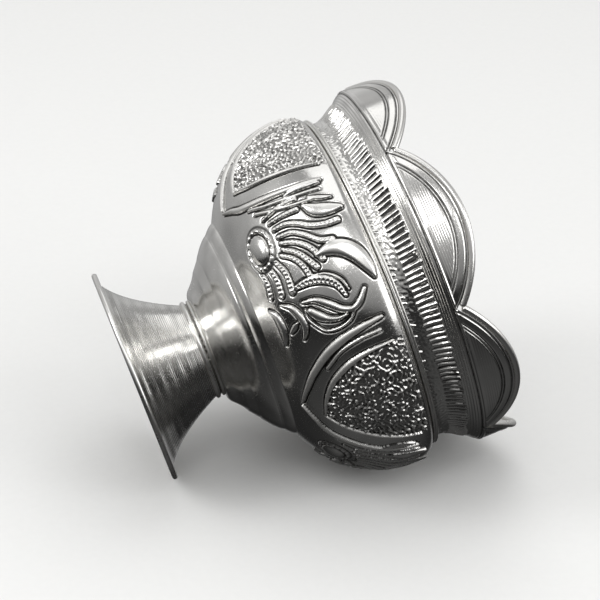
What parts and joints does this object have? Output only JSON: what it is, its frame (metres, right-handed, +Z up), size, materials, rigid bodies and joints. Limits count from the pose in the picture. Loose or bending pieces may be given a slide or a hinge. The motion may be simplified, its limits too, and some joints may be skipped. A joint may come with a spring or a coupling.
{
  "type": "footed cup",
  "caption": "Small footed silver altar cup with a chased round bowl, reeded collar and scalloped, wire-edged mouth.",
  "frame": {"origin": "middle of the foot's resting face", "axes": "+Z up along the cup's axis, from the foot to the mouth; the middle of one petal faces -X"},
  "size_m": [0.0674, 0.0674, 0.0609],
  "materials": {
    "polished_silver": "polished, with fine turning lines and scratches",
    "chased_silver": "polished high points over dark oxidised recesses",
    "silver_wire": "drawn and polished",
    "silver_solder": "dull and pitted"
  },
  "bodies": {
    "root": {"foot": "polished_silver", "foot_rim_wire": "silver_wire", "neck_wire_lower": "silver_wire", "neck_solder": "silver_solder", "neck_wire_upper": "silver_wire", "stem_cup": "polished_silver", "bowl": "chased_silver", "shoulder_wire": "silver_wire", "collar": "chased_silver", "mouth": "polished_silver", "rim_wire_1": "silver_wire", "rim_wire_2": "silver_wire", "rim_wire_3": "silver_wire", "rim_wire_4": "silver_wire", "rim_wire_5": "silver_wire", "rim_wire_6": "silver_wire", "rim_wire_7": "silver_wire"}
  },
  "joints": []
}
